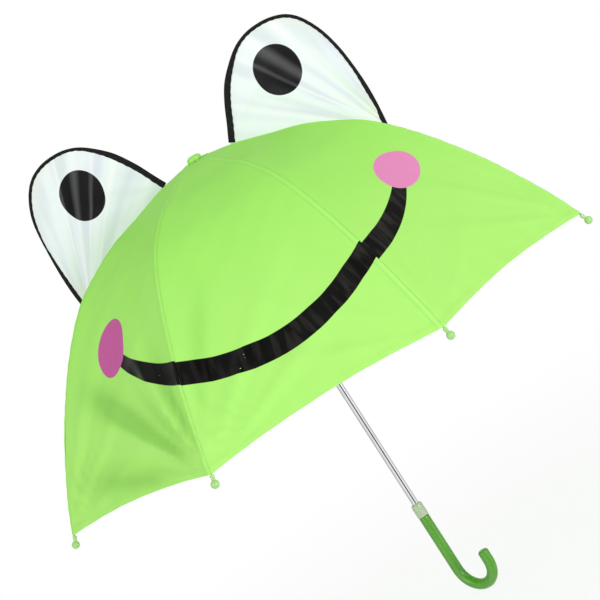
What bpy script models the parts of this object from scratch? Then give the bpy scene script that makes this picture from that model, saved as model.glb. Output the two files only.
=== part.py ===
"""Child's frog umbrella: shaft with hook handle, sliding runner and sprung catch, eight folding rib arms
with their stretchers and canopy gores, and two upright frog eyes sewn into the rear seams. Metres, +Z up,
origin at the middle of the grip; the frog's face looks along -Y."""
import math

import bmesh
import bpy
from mathutils import Matrix, Vector

MM = 0.001
APEX_Z = 525.0          # height of the canopy's apex over the middle of the grip
RIBS = 8
FIRST_RIB = 22.5        # azimuth of the first rib, in degrees from +X

# Outer face of the cloth over a rib, as radius and depth below the apex.
SEAM = [(0, 0), (20, 2.1), (57, 9), (97, 20.6), (137, 32), (172, 48), (201.5, 65), (229, 89), (256.5, 119),
        (283, 153), (302, 180), (322, 213), (340, 245), (354, 274.5)]
CLOTH = 0.8             # thickness of the cloth solids
RIB_DROP = 3.0          # rib centre line under the cloth's outer face
RIB_W = 2.0
OUTER_W = 1.7
KINK_R = 206.0          # radius at which the rib arm flexes
TAB_CLEAR = 2.0         # each wire stops this far from the flex pin
CLOTH_START = 5.6       # radius of the hole round the shaft
HEM_DIP = 9.0           # how far the hem rises between two tips, along the cloth
HEM_BEND = 1.9          # how full the hem's curve is
GAP = 0.3

CROWN_PIVOT = (8.0, 10.5)
RING_WIRE = 0.6
EYE_HOLE = 0.95
PIN_R = 0.7
LUG_BACK = 4.5
LUG_DROP = 5.0
RUNNER_PIVOT = (11.0, 150.0)
STRETCH_BAR_R = 0.95

SHAFT_R = 4.0
SHAFT_BORE = 3.4
SHAFT_TOP = 0.5
SHAFT_END = 520.0
SLIDE_BORE = 4.3        # bores that the shaft passes through
COLLAR_TOP = 473.0
HANDLE_TOP = 490.3
HANDLE_R = 6.4
HOOK_START = 565.0
HOOK_R = 26.5
HOOK_TAIL = 13.0
HOOK_TURN = -45.0       # azimuth the hook points to

NECK_R = 2.25
WIRE_IN_BEAD = 5.6      # how far each rib's wire runs on past the cloth
BEAD_HOLE_R = 1.5
BEAD_HOLE_END = 6.2
BALL_R = 4.5
BALL_AT = 10.0          # ball centre past the end of the cloth
EYE_T = 1.6             # thickness of an eye
EYE_RIBS = {"eye_right": 1, "eye_left": 4}   # the rib whose seam carries each eye
EYE_TOP = [(47, 3), (57, -14), (69, -36), (83, -57), (101, -74), (118, -86), (136, -93), (155, -95.5), (175, -94),
           (194, -87), (209, -73), (222, -50), (229, -24), (232, 5), (232, 35), (230, 57), (214, 63)]
EYE_FOOT = (54, 204)    # radii between which the eye is sewn to the seam

CATCH_TOP = 178.5
CATCH_LEN = 22.0
CATCH_ROOM = 1.0        # the shaft's window past each end of the fin
STRIP_END = 8.0         # the strip past each end of the fin

WELD = 1e-6              # joins points that lie on each other, in metres
SHARP = math.radians(35)
QUARTER = math.radians(90)


def clear_scene():
    for obj in list(bpy.data.objects):
        bpy.data.objects.remove(obj, do_unlink=True)


def new_collection(name, helper=False):
    made = bpy.data.collections.new(name)
    bpy.context.scene.collection.children.link(made)
    made.hide_render = helper
    return made


def new_material(name, color, roughness=0.5, metallic=0.0):
    made = bpy.data.materials.new(name)
    made.use_nodes = True
    shader = made.node_tree.nodes["Principled BSDF"]
    shader.inputs["Base Color"].default_value = (*color, 1.0)
    shader.inputs["Roughness"].default_value = roughness
    shader.inputs["Metallic"].default_value = metallic
    return made


clear_scene()
UMBRELLA = new_collection("frog_umbrella")
CUTTERS = new_collection("cutters", helper=True)
CHROME = new_material("chromed_steel", (0.72, 0.73, 0.75), 0.18, 1.0)
STEEL = new_material("frame_steel", (0.42, 0.43, 0.45), 0.35, 1.0)
SPRING = new_material("spring_steel", (0.55, 0.56, 0.58), 0.3, 1.0)
GREEN = new_material("green_plastic", (0.065, 0.3, 0.016), 0.25)
PALE = new_material("pale_plastic", (0.48, 0.63, 0.4), 0.3)
TIP = new_material("tip_plastic", (0.3, 0.6, 0.15), 0.35)
BLACK = new_material("runner_plastic", (0.02, 0.02, 0.022), 0.4)
CLOTH_GREEN = new_material("canopy_cloth", (0.39, 0.87, 0.17), 0.6)
EYE_WHITE = new_material("eye_cloth", (0.83, 0.9, 0.9), 0.6)


def up(depth):
    """Height of a depth below the apex. Heights and depths are in millimetres."""
    return APEX_Z - depth


# ---- objects -------------------------------------------------------------------------------------------------
def part(name, data, material, location=(0, 0, 0), rotation=(0, 0, 0), parent=None):
    """A named piece of the umbrella."""
    obj = bpy.data.objects.new(name, data)
    UMBRELLA.objects.link(obj)
    obj.parent = parent
    obj.location = Vector(location) * MM
    obj.rotation_euler = rotation
    if not data.materials:
        data.materials.append(material)
    return obj


def axis(name, location, azimuth=0.0, parent=None):
    """An empty on a joint's axis."""
    obj = bpy.data.objects.new(name, None)
    UMBRELLA.objects.link(obj)
    obj.empty_display_size = 5 * MM
    obj.parent = parent
    obj.location = Vector(location) * MM
    obj.rotation_euler = (0, 0, azimuth)
    return obj


def guide(name, data, location=(0, 0, 0), rotation=(0, 0, 0)):
    """A form to cut with or to build from, which isn't a piece of its own."""
    obj = bpy.data.objects.new(name, data)
    CUTTERS.objects.link(obj)
    obj.hide_render = True
    obj.display_type = "WIRE"
    obj.location = Vector(location) * MM
    obj.rotation_euler = rotation
    return obj


def evaluated_mesh(obj):
    bpy.context.view_layer.update()
    graph = bpy.context.evaluated_depsgraph_get()
    mesh = bpy.data.meshes.new_from_object(obj.evaluated_get(graph))
    form = bmesh.new()
    form.from_mesh(mesh)
    bmesh.ops.remove_doubles(form, verts=form.verts, dist=WELD)
    form.to_mesh(mesh)
    form.free()
    return mesh


def as_solid(curve):
    """A curve made a mesh object with its caps welded, so that it can be cut and joined."""
    name = curve.name
    made = guide(name + "_solid", evaluated_mesh(curve))
    made.matrix_world = curve.matrix_world
    bpy.data.objects.remove(curve)
    return made


def finished(obj, origin=(0, 0, 0)):
    """The final mesh of a guide about the given origin, smooth except over its sharp edges."""
    mesh = evaluated_mesh(obj)
    mesh.transform(Matrix.Translation(-Vector(origin) * MM) @ obj.matrix_world)
    mesh.shade_smooth()
    mesh.set_sharp_from_angle(angle=SHARP)
    return mesh


def combine(obj, others, operation):
    for other in others:
        modifier = obj.modifiers.new(other.name, "BOOLEAN")
        modifier.operation = operation
        modifier.solver = "EXACT"
        modifier.object = other


# ---- forms ---------------------------------------------------------------------------------------------------
def turned(name, profile, sides, closed=True, phase=0.0):
    """A (radius, height) profile that runs down its outer side, turned round Z."""
    edges = [(i, i + 1) for i in range(len(profile) - 1)]
    if closed:
        edges.append((len(profile) - 1, 0))
    mesh = bpy.data.meshes.new(name)
    mesh.from_pydata([(r * MM, 0, z * MM) for r, z in profile], edges, [])
    obj = guide(name, mesh, rotation=(0, 0, phase))
    screw = obj.modifiers.new("turn", "SCREW")
    screw.steps = sides
    screw.render_steps = sides
    screw.use_merge_vertices = True
    screw.merge_threshold = WELD
    return obj


def block(name, low, high, azimuth=0.0):
    low, high = Vector(low), Vector(high)
    form = bmesh.new()
    bmesh.ops.create_cube(form, size=1.0)
    bmesh.ops.scale(form, vec=(high - low) * MM, verts=form.verts)
    bmesh.ops.translate(form, vec=(low + high) / 2 * MM, verts=form.verts)
    mesh = bpy.data.meshes.new(name)
    form.to_mesh(mesh)
    form.free()
    return guide(name, mesh, rotation=(0, 0, azimuth))


def pin(name, centre, radius, y0, y1, sides=8):
    """A round pin along Y through an (x, z) centre."""
    form = bmesh.new()
    bmesh.ops.create_cone(form, cap_ends=True, segments=sides, radius1=radius * MM, radius2=radius * MM,
                          depth=(y1 - y0) * MM)
    mesh = bpy.data.meshes.new(name)
    form.to_mesh(mesh)
    form.free()
    return guide(name, mesh, (centre[0], (y0 + y1) / 2, centre[1]), (QUARTER, 0, 0))


def drill(name, centre):
    return pin(name, centre, EYE_HOLE, -2, 2)


def outline_curve(name, outline, thickness):
    """A flat filled outline in the curve's own XY plane, half the thickness to each side of it."""
    curve = bpy.data.curves.new(name, "CURVE")
    curve.dimensions = "2D"
    curve.fill_mode = "BOTH"
    curve.extrude = thickness / 2 * MM
    spline = curve.splines.new("POLY")
    spline.points.add(len(outline) - 1)
    for point, (x, y) in zip(spline.points, outline):
        point.co = (x * MM, y * MM, 0, 1)
    spline.use_cyclic_u = True
    return curve


def plate(name, outline, y0, y1, azimuth=0.0):
    """An upright plate with an (x, z) outline, from y0 to y1."""
    curve = outline_curve(name, outline, y1 - y0)
    middle = Matrix.Rotation(azimuth, 3, "Z") @ Vector((0, (y0 + y1) / 2, 0))
    return as_solid(guide(name, curve, middle, (QUARTER, 0, azimuth)))


def capsule(a, b, radius, steps=4):
    """The outline round two points at one radius."""
    along = math.atan2(b[1] - a[1], b[0] - a[0])
    points = []
    for end, start in ((b, along - QUARTER), (a, along + QUARTER)):
        for i in range(steps + 1):
            t = start + math.pi * i / steps
            points.append((end[0] + radius * math.cos(t), end[1] + radius * math.sin(t)))
    return points


def wire(name, path, radius, shares=None, resolution=1):
    """A round bar along a path of points; shares scale its radius at each point."""
    curve = bpy.data.curves.new(name, "CURVE")
    curve.dimensions = "3D"
    curve.bevel_depth = radius * MM
    curve.bevel_resolution = resolution
    curve.use_fill_caps = True
    spline = curve.splines.new("POLY")
    spline.points.add(len(path) - 1)
    for i, point in enumerate(path):
        spline.points[i].co = (*(Vector(point) * MM), 1)
        spline.points[i].radius = shares[i] if shares else 1.0
    return as_solid(guide(name, curve))


def in_arm(points):
    """(radius, height) points as places in a rib arm's own plane."""
    return [Vector((p[0], 0, p[1])) for p in points]


# ---- the seam curve ------------------------------------------------------------------------------------------
def smooth_seam(per=6):
    """The seam as a dense curve through its driving points."""
    pts = [Vector(p) for p in SEAM]
    pts = [Vector((-pts[1].x, pts[1].y))] + pts + [pts[-1] * 2 - pts[-2]]
    out = []
    for i in range(1, len(pts) - 2):
        p0, p1, p2, p3 = pts[i - 1], pts[i], pts[i + 1], pts[i + 2]
        t0 = (p2 - p0) * 0.5 * min(1.0, (p2 - p1).length / max((p1 - p0).length, 1e-6))
        t1 = (p3 - p1) * 0.5 * min(1.0, (p2 - p1).length / max((p3 - p2).length, 1e-6))
        for k in range(per):
            t = k / per
            h = (2 * t**3 - 3 * t**2 + 1, t**3 - 2 * t**2 + t, -2 * t**3 + 3 * t**2, t**3 - t**2)
            out.append(p1 * h[0] + t0 * h[1] + p2 * h[2] + t1 * h[3])
    out.append(pts[-2])
    return out


SEAM_CURVE = smooth_seam()
SEAM_ARC = [0.0]
for first, second in zip(SEAM_CURVE, SEAM_CURVE[1:]):
    SEAM_ARC.append(SEAM_ARC[-1] + (second - first).length)
SEAM_LENGTH = SEAM_ARC[-1]


def seam_at(arc, drop=0.0):
    """Radius and height of the seam at a length from the apex, moved inwards by drop."""
    i = 1
    while i < len(SEAM_ARC) - 1 and SEAM_ARC[i] < arc:
        i += 1
    share = (arc - SEAM_ARC[i - 1]) / (SEAM_ARC[i] - SEAM_ARC[i - 1])
    point = SEAM_CURVE[i - 1].lerp(SEAM_CURVE[i], share)
    low, high = SEAM_CURVE[max(i - 2, 0)], SEAM_CURVE[min(i + 1, len(SEAM_CURVE) - 1)]
    run = (high - low).normalized()
    return point.x - run.y * drop, up(point.y + run.x * drop)


def seam_run(arc):
    """Unit direction of the seam, outwards, in radius and height."""
    a, b = seam_at(arc - 1.5), seam_at(arc + 1.5)
    return Vector((b[0] - a[0], b[1] - a[1])).normalized()


def arc_at_radius(radius):
    low, high = 0.0, SEAM_LENGTH
    for _ in range(40):
        middle = (low + high) / 2
        if seam_at(middle)[0] < radius:
            low = middle
        else:
            high = middle
    return low


CROWN = Vector((CROWN_PIVOT[0], up(CROWN_PIVOT[1])))
KINK = arc_at_radius(KINK_R)
FLEX = Vector(seam_at(KINK, RIB_DROP))
FLEX_RUN = seam_run(KINK)
FLEX_DOWN = Vector((FLEX_RUN.y, -FLEX_RUN.x))
STRETCH_TOP = FLEX - FLEX_RUN * LUG_BACK + FLEX_DOWN * LUG_DROP
STRETCH_LOW = Vector((RUNNER_PIVOT[0], up(RUNNER_PIVOT[1])))


# ---- shaft, handle, crown and runner -------------------------------------------------------------------------
def rib_azimuth(number):
    return math.radians(FIRST_RIB + (number - 1) * 360 / RIBS)


def make_shaft():
    tube = turned("shaft", [(SHAFT_R, up(SHAFT_TOP)), (SHAFT_R, up(SHAFT_END)), (SHAFT_BORE, up(SHAFT_END)),
                            (SHAFT_BORE, up(SHAFT_TOP))], 20)
    low, high = up(CATCH_TOP + CATCH_LEN + CATCH_ROOM), up(CATCH_TOP - CATCH_ROOM)
    window = block("window", (-1.3, -4.6, low), (1.3, -2.8, high))
    combine(tube, [window], "DIFFERENCE")
    part("shaft_tube", finished(tube), CHROME)


def make_catch():
    """A strip inside the shaft whose sloped fin stands out through the window, towards -Y."""
    low, high = up(CATCH_TOP + CATCH_LEN), up(CATCH_TOP)
    strip = block("strip", (-0.9, -3.0, low - STRIP_END), (0.9, -2.2, high + STRIP_END))
    fin = plate("fin", [(2.6, low), (4.3, low), (6.8, high - 3), (6.8, high), (2.6, high)], -0.9, 0.9, -QUARTER)
    combine(strip, [fin], "UNION")
    origin = (0, 0, high)
    part("catch_spring", finished(strip, origin), SPRING, origin)


def make_crown():
    groove = up(CROWN_PIVOT[1])
    notch = turned("notch", [(SLIDE_BORE, up(5.4)), (9.6, up(5.4)), (10.5, up(6.2)), (10.5, groove + 1.1),
                             (7.2, groove + 1.1), (7.2, groove - 1.1), (10.5, groove - 1.1), (10.5, up(15.5)),
                             (SLIDE_BORE, up(15.5))], 16, phase=math.pi / 16)
    slots = [block(f"slot{n}", (5.6, -1.1, up(17)), (12, 1.1, up(4)), rib_azimuth(n)) for n in range(1, RIBS + 1)]
    combine(notch, slots, "DIFFERENCE")
    part("crown_notch", finished(notch), PALE)
    bpy.ops.mesh.primitive_torus_add(major_segments=16, minor_segments=6, major_radius=CROWN_PIVOT[0] * MM,
                                     minor_radius=RING_WIRE * MM, location=(0, 0, groove * MM))
    torus = bpy.context.object
    ring = torus.data
    bpy.data.objects.remove(torus)
    ring.shade_smooth()
    part("crown_ring", ring, STEEL, (0, 0, groove))
    cap = turned("cap", [(0, up(-6)), (2.5, up(-6)), (4.5, up(-5.8)), (7, up(-5)), (8.6, up(-3.6)), (9.2, up(-1.6)),
                         (9, up(0.1)), (3, up(0.1)), (3, up(12)), (0, up(12))], 16, closed=False)
    part("top_cap", finished(cap), GREEN)


def make_runner():
    middle = up(RUNNER_PIVOT[1])
    outline = [(SLIDE_BORE, middle + 9), (7.4, middle + 9), (8.2, middle + 4.6), (13.5, middle + 4),
               (13.5, middle - 4), (7.4, middle - 4), (7.4, middle - 21), (8.6, middle - 22), (8.6, middle - 26),
               (SLIDE_BORE, middle - 26)]
    body = turned("runner_body", outline, 16, phase=math.pi / 16)
    cuts = [block(f"runner_slot{n}", (8.5, -1.8, middle - 6), (16, 1.8, middle + 6), rib_azimuth(n))
            for n in range(1, RIBS + 1)]
    cuts.append(block("keyway", (-1.4, -8.05, middle - 28), (1.4, -3.6, middle + 11)))
    combine(body, cuts, "DIFFERENCE")
    origin = (0, 0, middle)
    part("runner", finished(body, origin), BLACK, origin)


def hook_path(steps=12):
    """The handle's centre line, down the grip and round the hook to the start of its rounded end."""
    out = Vector((math.cos(math.radians(HOOK_TURN)), math.sin(math.radians(HOOK_TURN)), 0))
    path = [Vector((0, 0, up(HANDLE_TOP))), Vector((0, 0, up(HOOK_START)))]
    for k in range(1, steps + 1):
        t = math.pi * k / steps
        path.append(out * HOOK_R * (1 - math.cos(t)) + Vector((0, 0, up(HOOK_START) - HOOK_R * math.sin(t))))
    return path


def make_handle():
    collar = turned("collar", [(SLIDE_BORE, up(COLLAR_TOP)), (5.5, up(COLLAR_TOP + 0.3)), (6.5, up(COLLAR_TOP + 1.2)),
                               (7, up(COLLAR_TOP + 3)), (7, up(HANDLE_TOP - GAP)),
                               (SLIDE_BORE, up(HANDLE_TOP - GAP))], 20)
    part("handle_collar", finished(collar), PALE)
    path = hook_path()
    shares = [1.0] * len(path)
    for k in range(5):
        t = math.radians(85) * k / 4
        path.append(path[-1 - k] + Vector((0, 0, HOOK_TAIL - HANDLE_R + HANDLE_R * math.sin(t))))
        shares.append(math.cos(t))
    bar = wire("bar", path, HANDLE_R, shares, 5)
    socket = turned("socket", [(0, up(480)), (SLIDE_BORE, up(480)), (SLIDE_BORE, up(521)), (0, up(521))], 20,
                    closed=False)
    combine(bar, [socket], "DIFFERENCE")
    part("handle", finished(bar), GREEN)


# ---- rib arms ------------------------------------------------------------------------------------------------
def rib_inner_mesh(origin):
    neck = CROWN + Vector((3.5, 0.1))
    start = arc_at_radius(48)
    path = [neck] + [seam_at(start + (KINK - TAB_CLEAR - start) * k / 6, RIB_DROP) for k in range(7)]
    bar = wire("rib_bar", in_arm(path), RIB_W / 2)
    eye = plate("rib_eye", capsule(CROWN, neck + Vector((4, 0)), 1.9), -0.7, 0.7)
    tab = plate("rib_tab", capsule(FLEX - FLEX_RUN * 3.5, FLEX, 1.6), 0.15, 0.95)
    rivet = pin("rivet", FLEX, PIN_R, -0.85, 0.9, 6)
    lug = plate("lug", capsule(FLEX - FLEX_RUN * LUG_BACK, STRETCH_TOP, 1.55), -0.45, 0.45)
    combine(bar, [eye, tab, rivet, lug], "UNION")
    combine(bar, [drill("eye_hole", CROWN), drill("lug_hole", STRETCH_TOP)], "DIFFERENCE")
    return finished(bar, origin)


def tip_place():
    """The end of the rib's centre line and its direction there, as radius and height."""
    end = Vector(seam_at(SEAM_LENGTH, RIB_DROP))
    low, high = Vector(seam_at(SEAM_LENGTH - 6)), Vector(seam_at(SEAM_LENGTH))
    return end, (high - low).normalized()


def rib_outer_mesh(origin):
    end, run = tip_place()
    start = KINK + TAB_CLEAR
    path = [seam_at(start + (SEAM_LENGTH - start) * k / 6, RIB_DROP) for k in range(7)] + [end + run * WIRE_IN_BEAD]
    bar = wire("outer_bar", in_arm(path), OUTER_W / 2)
    tab = plate("outer_tab", capsule(FLEX, FLEX + FLEX_RUN * 3.5, 1.6), -0.8, -0.15)
    combine(bar, [tab], "UNION")
    combine(bar, [drill("outer_hole", FLEX)], "DIFFERENCE")
    return finished(bar, origin)


def tip_mesh():
    """A bead with a neck and a blind hole for the wire, its axis along Z from the end of the rib."""
    outline = [(0, BALL_AT + BALL_R)]
    for k in range(5, 0, -1):
        t = math.pi * (-0.5 + 0.165) + math.pi * 0.835 * k / 6
        outline.append((BALL_R * math.cos(t), BALL_AT + BALL_R * math.sin(t)))
    outline += [(NECK_R, 6.1), (NECK_R, GAP), (BEAD_HOLE_R, GAP), (BEAD_HOLE_R, BEAD_HOLE_END),
                (0, BEAD_HOLE_END)]
    return finished(turned("tip_form", outline, 8, closed=False))


def stretcher_mesh(origin):
    run = (STRETCH_LOW - STRETCH_TOP).normalized()
    ends = [STRETCH_TOP + run * 2.7, STRETCH_LOW - run * 1.2]
    bar = wire("stretcher_bar", in_arm(ends), STRETCH_BAR_R)
    cheeks = [plate(f"cheek{side}", capsule(STRETCH_TOP, STRETCH_TOP + run * 6, 1.35), min(0.75 * side, 1.45 * side),
                    max(0.75 * side, 1.45 * side)) for side in (-1, 1)]
    fork_pin = pin("fork_pin", STRETCH_TOP, PIN_R, -1.3, 1.3, 6)
    foot = plate("foot", capsule(STRETCH_LOW - run * 4, STRETCH_LOW, 1.6), -0.7, 0.7)
    combine(bar, [*cheeks, fork_pin, foot], "UNION")
    combine(bar, [drill("foot_hole", STRETCH_LOW)], "DIFFERENCE")
    return finished(bar, origin)


# ---- canopy --------------------------------------------------------------------------------------------------
def hem_arc(share):
    """Length of the cloth from the apex to the hem, at a share of the way from a rib to the panel's middle."""
    return SEAM_LENGTH - HEM_DIP * (1 - (1 - abs(share)) ** HEM_BEND)


def gore_point(arc, share):
    """A place on the outer face; share runs from 0 on the rib to 1 halfway to the next one."""
    r, z = seam_at(arc)
    half = math.radians(180 / RIBS)
    middle = Vector((r * math.cos(half) ** 2, r * math.cos(half) * math.sin(half)))
    reach = abs(share)
    if reach == 1:
        reach -= (GAP / 2) / (middle - Vector((r, 0))).length
    return Vector((r + (middle.x - r) * reach, math.copysign(middle.y * reach, share), z))


def gore_mesh(name, start, stop_at, rows, shares, origin):
    """The cloth to both sides of a rib between two lengths along it, as an open surface facing out."""
    columns = len(shares) - 1
    form = bmesh.new()
    bmesh.ops.create_grid(form, x_segments=columns, y_segments=rows, size=1.0)
    for vert in form.verts:
        share = -shares[round((vert.co.x + 1) / 2 * columns)]
        along = (vert.co.y + 1) / 2
        vert.co = (gore_point(start + (stop_at(share) - start) * along, share) - Vector(origin)) * MM
    mesh = bpy.data.meshes.new(name)
    form.to_mesh(mesh)
    form.free()
    mesh.shade_smooth()
    return mesh


def thicken(obj):
    solidify = obj.modifiers.new("cloth", "SOLIDIFY")
    solidify.thickness = CLOTH * MM
    solidify.offset = -1.0
    solidify.use_even_offset = True


def make_arms():
    crown, flex, knee = (Vector((p.x, 0, p.y)) for p in (CROWN, FLEX, STRETCH_TOP))
    end, run = tip_place()
    inner_rib, outer_rib, tip, stretcher = rib_inner_mesh(crown), rib_outer_mesh(flex), tip_mesh(), stretcher_mesh(knee)
    inner_cloth = gore_mesh("inner_cloth", CLOTH_START, lambda share: KINK - GAP, 10, [-1, 0, 1], crown)
    outer_cloth = gore_mesh("outer_cloth", KINK + GAP, hem_arc, 6, [-1, -0.66, -0.34, -0.13, 0, 0.13, 0.34, 0.66, 1],
                            flex)
    for n in range(1, RIBS + 1):
        turn = rib_azimuth(n)
        fold_axis = axis(f"fold_axis_{n}", Matrix.Rotation(turn, 3, "Z") @ crown, turn)
        flex_axis = axis(f"flex_axis_{n}", flex - crown, parent=fold_axis)
        knee_axis = axis(f"stretcher_axis_{n}", knee - crown, parent=fold_axis)
        part(f"rib_inner_{n}", inner_rib, STEEL, parent=fold_axis)
        part(f"rib_outer_{n}", outer_rib, SPRING, parent=flex_axis)
        part(f"rib_tip_{n}", tip, TIP, Vector((end.x, 0, end.y)) - flex, (0, math.atan2(run.x, run.y), 0), flex_axis)
        part(f"stretcher_{n}", stretcher, STEEL, parent=knee_axis)
        thicken(part(f"canopy_inner_{n}", inner_cloth, CLOTH_GREEN, parent=fold_axis))
        thicken(part(f"canopy_outer_{n}", outer_cloth, CLOTH_GREEN, parent=flex_axis))


def make_eyes():
    """Each eye is a flat outline in the plane of a rear rib, with its foot just over the seam."""
    low, high = (arc_at_radius(r) for r in EYE_FOOT)
    foot = [seam_at(low + (high - low) * k / 8, -0.5) for k in range(9)]
    top = [(r, up(depth)) for r, depth in reversed(EYE_TOP)]
    outline = outline_curve("eye_outline", foot + top, EYE_T)
    for name, number in EYE_RIBS.items():
        fold_axis = bpy.data.objects[f"fold_axis_{number}"]
        part(name, outline, EYE_WHITE, (-CROWN.x, 0, -CROWN.y), (QUARTER, 0, 0), fold_axis)


make_shaft()
make_catch()
make_crown()
make_runner()
make_handle()
make_arms()
make_eyes()
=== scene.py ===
"""The looks of the child's frog umbrella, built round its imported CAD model: a cloth canopy of eight gores
with a printed face, each half gore made in short lengths that close up onto its rib, two wired cloth
eyes, turned and bent plastics, plated steel, light and camera."""
import math

import bmesh
import bpy
import numpy as np
from mathutils import Matrix, Vector


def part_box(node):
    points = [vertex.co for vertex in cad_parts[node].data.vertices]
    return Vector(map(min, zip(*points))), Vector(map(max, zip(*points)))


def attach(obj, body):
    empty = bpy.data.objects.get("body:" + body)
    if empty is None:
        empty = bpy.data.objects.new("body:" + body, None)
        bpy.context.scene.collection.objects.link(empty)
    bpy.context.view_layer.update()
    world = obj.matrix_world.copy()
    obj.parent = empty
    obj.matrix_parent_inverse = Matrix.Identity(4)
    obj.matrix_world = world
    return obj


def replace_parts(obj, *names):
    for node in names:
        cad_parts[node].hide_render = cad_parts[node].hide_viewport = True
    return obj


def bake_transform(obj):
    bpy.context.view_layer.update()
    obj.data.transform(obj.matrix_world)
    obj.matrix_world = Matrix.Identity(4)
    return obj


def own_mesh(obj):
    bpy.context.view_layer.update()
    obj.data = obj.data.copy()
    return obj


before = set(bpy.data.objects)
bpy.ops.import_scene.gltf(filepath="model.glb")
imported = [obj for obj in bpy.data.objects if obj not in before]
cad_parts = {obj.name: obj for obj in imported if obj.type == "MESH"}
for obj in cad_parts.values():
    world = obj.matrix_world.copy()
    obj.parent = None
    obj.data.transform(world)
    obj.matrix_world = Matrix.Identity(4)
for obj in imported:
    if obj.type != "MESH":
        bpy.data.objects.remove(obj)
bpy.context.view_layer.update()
MM = 0.001
RIBS = 8
HALF = math.pi / RIBS                    # half the angle between two ribs
FIRST_RIB = HALF
APEX_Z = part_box("top_cap")[1].z - 6 * MM
FOLD = "canopy_fold"

# Outer face of the cloth over a rib: radius and depth below the apex, in mm.
SEAM = [(0, 0), (20, 2.1), (57, 9), (97, 20.6), (137, 32), (172, 48), (201.5, 65), (229, 89), (256.5, 119),
        (283, 153), (302, 180), (322, 213), (340, 245), (354, 274.5)]
RIB_DROP = 3.0
KINK_R = 206.0
CLOTH_START = 5.6
HEM_DIP = 9.0
CLOTH_T = 0.35
FELL_WIDTH = 6.4                         # the doubled strip of cloth along one side of each seam

# The camera stands at the photograph's place, in front of the face and a little above the rim.
CAMERA_PLACE = (0.11855, -2.05961, 0.47045)
CAMERA_TURN = (85.1967, 32.6116, 0.2894)
LENS = 107.62


# ---- node helpers --------------------------------------------------------------------------------
class Shader:
    """A material's node tree, with short calls for the nodes used here."""

    def __init__(self, name):
        self.material = bpy.data.materials.new(name)
        self.material.use_nodes = True
        self.tree = self.material.node_tree
        self.nodes = self.tree.nodes
        self.bsdf = self.nodes["Principled BSDF"]

    def link(self, source, socket):
        self.tree.links.new(source, socket)

    def feed(self, socket, value):
        if hasattr(value, "is_output"):
            self.link(value, socket)
        else:
            socket.default_value = value

    def put(self, name, value):
        """Sets or links an input of the Principled shader."""
        self.feed(self.bsdf.inputs[name], value)

    def math(self, operation, a, b=0.0, c=0.0):
        node = self.nodes.new("ShaderNodeMath")
        node.operation = operation
        for socket, value in zip(node.inputs, (a, b, c)):
            self.feed(socket, value)
        return node.outputs[0]

    def ramp(self, value, low, high, to_low=0.0, to_high=1.0, smooth=True):
        node = self.nodes.new("ShaderNodeMapRange")
        node.interpolation_type = "SMOOTHSTEP" if smooth else "LINEAR"
        for socket, item in zip(node.inputs, (value, low, high, to_low, to_high)):
            self.feed(socket, item)
        return node.outputs[0]

    def mix(self, share, a, b):
        node = self.nodes.new("ShaderNodeMix")
        node.data_type = "RGBA"
        self.feed(node.inputs["Factor"], share)
        for socket, value in ((node.inputs[6], a), (node.inputs[7], b)):
            self.feed(socket, (*value, 1.0) if isinstance(value, tuple) and len(value) == 3 else value)
        return node.outputs[2]

    def noise(self, vector, scale, detail=2.0, roughness=0.5, stretch=None):
        node = self.nodes.new("ShaderNodeTexNoise")
        node.inputs["Scale"].default_value = scale
        node.inputs["Detail"].default_value = detail
        node.inputs["Roughness"].default_value = roughness
        if stretch is not None:
            vector = self.scaled(vector, stretch)
        self.link(vector, node.inputs["Vector"])
        return node.outputs["Fac"]

    def scaled(self, vector, factors):
        node = self.nodes.new("ShaderNodeVectorMath")
        node.operation = "MULTIPLY"
        self.link(vector, node.inputs[0])
        node.inputs[1].default_value = factors
        return node.outputs[0]

    def attribute(self, name):
        node = self.nodes.new("ShaderNodeAttribute")
        node.attribute_name = name
        return node.outputs["Vector"]

    def parts(self, vector):
        node = self.nodes.new("ShaderNodeSeparateXYZ")
        self.link(vector, node.inputs[0])
        return node.outputs

    def place(self):
        return self.nodes.new("ShaderNodeTexCoord").outputs["Object"]

    def bump(self, height, distance, strength=1.0, normal=None):
        node = self.nodes.new("ShaderNodeBump")
        node.inputs["Distance"].default_value = distance
        node.inputs["Strength"].default_value = strength
        self.link(height, node.inputs["Height"])
        if normal is not None:
            self.link(normal, node.inputs["Normal"])
        self.link(node.outputs[0], self.bsdf.inputs["Normal"])
        return node.outputs[0]


def wave(shader, value, pitch):
    """0 to 1 and back once per pitch."""
    turns = shader.math("MULTIPLY", value, 2 * math.pi / pitch)
    return shader.math("MULTIPLY_ADD", shader.math("SINE", turns), 0.5, 0.5)


def weave(shader, across, along, pitch):
    """Height of a plain weave in the cloth's own flat coordinates."""
    a = wave(shader, across, pitch)
    b = wave(shader, along, pitch)
    return shader.math("MULTIPLY", a, b)


def stitches(shader, line_at, across, along, pitch=2.6 * MM, width=0.45 * MM):
    """1 on the thread of a row of stitches that runs along the cloth at a distance across it."""
    off = shader.math("ABSOLUTE", shader.math("SUBTRACT", across, line_at))
    on_line = shader.ramp(off, width, width * 0.45)
    dash = shader.ramp(wave(shader, along, pitch), 0.22, 0.42)
    return shader.math("MULTIPLY", on_line, dash)


# ---- materials -----------------------------------------------------------------------------------
GREEN = (0.362, 0.845, 0.132)
# paler green painted lower down the canopy as painted light
GREEN_PAINTED_LIGHT = (0.47, 0.87, 0.205)
GREEN_DEEP = (0.350, 0.84, 0.118)
MOUTH = (0.001, 0.001, 0.001)
# grey of the painted highlights on the mouth's black print
MOUTH_PAINTED_HIGHLIGHT = (0.022, 0.021, 0.018)
PINK = (0.79, 0.27, 0.52)
# shaded copy of the cheek pink: painted shade on the left cheek
PINK_PAINTED_SHADE = (0.56, 0.115, 0.34)
WHITE = (0.85, 0.905, 0.93)
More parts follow.
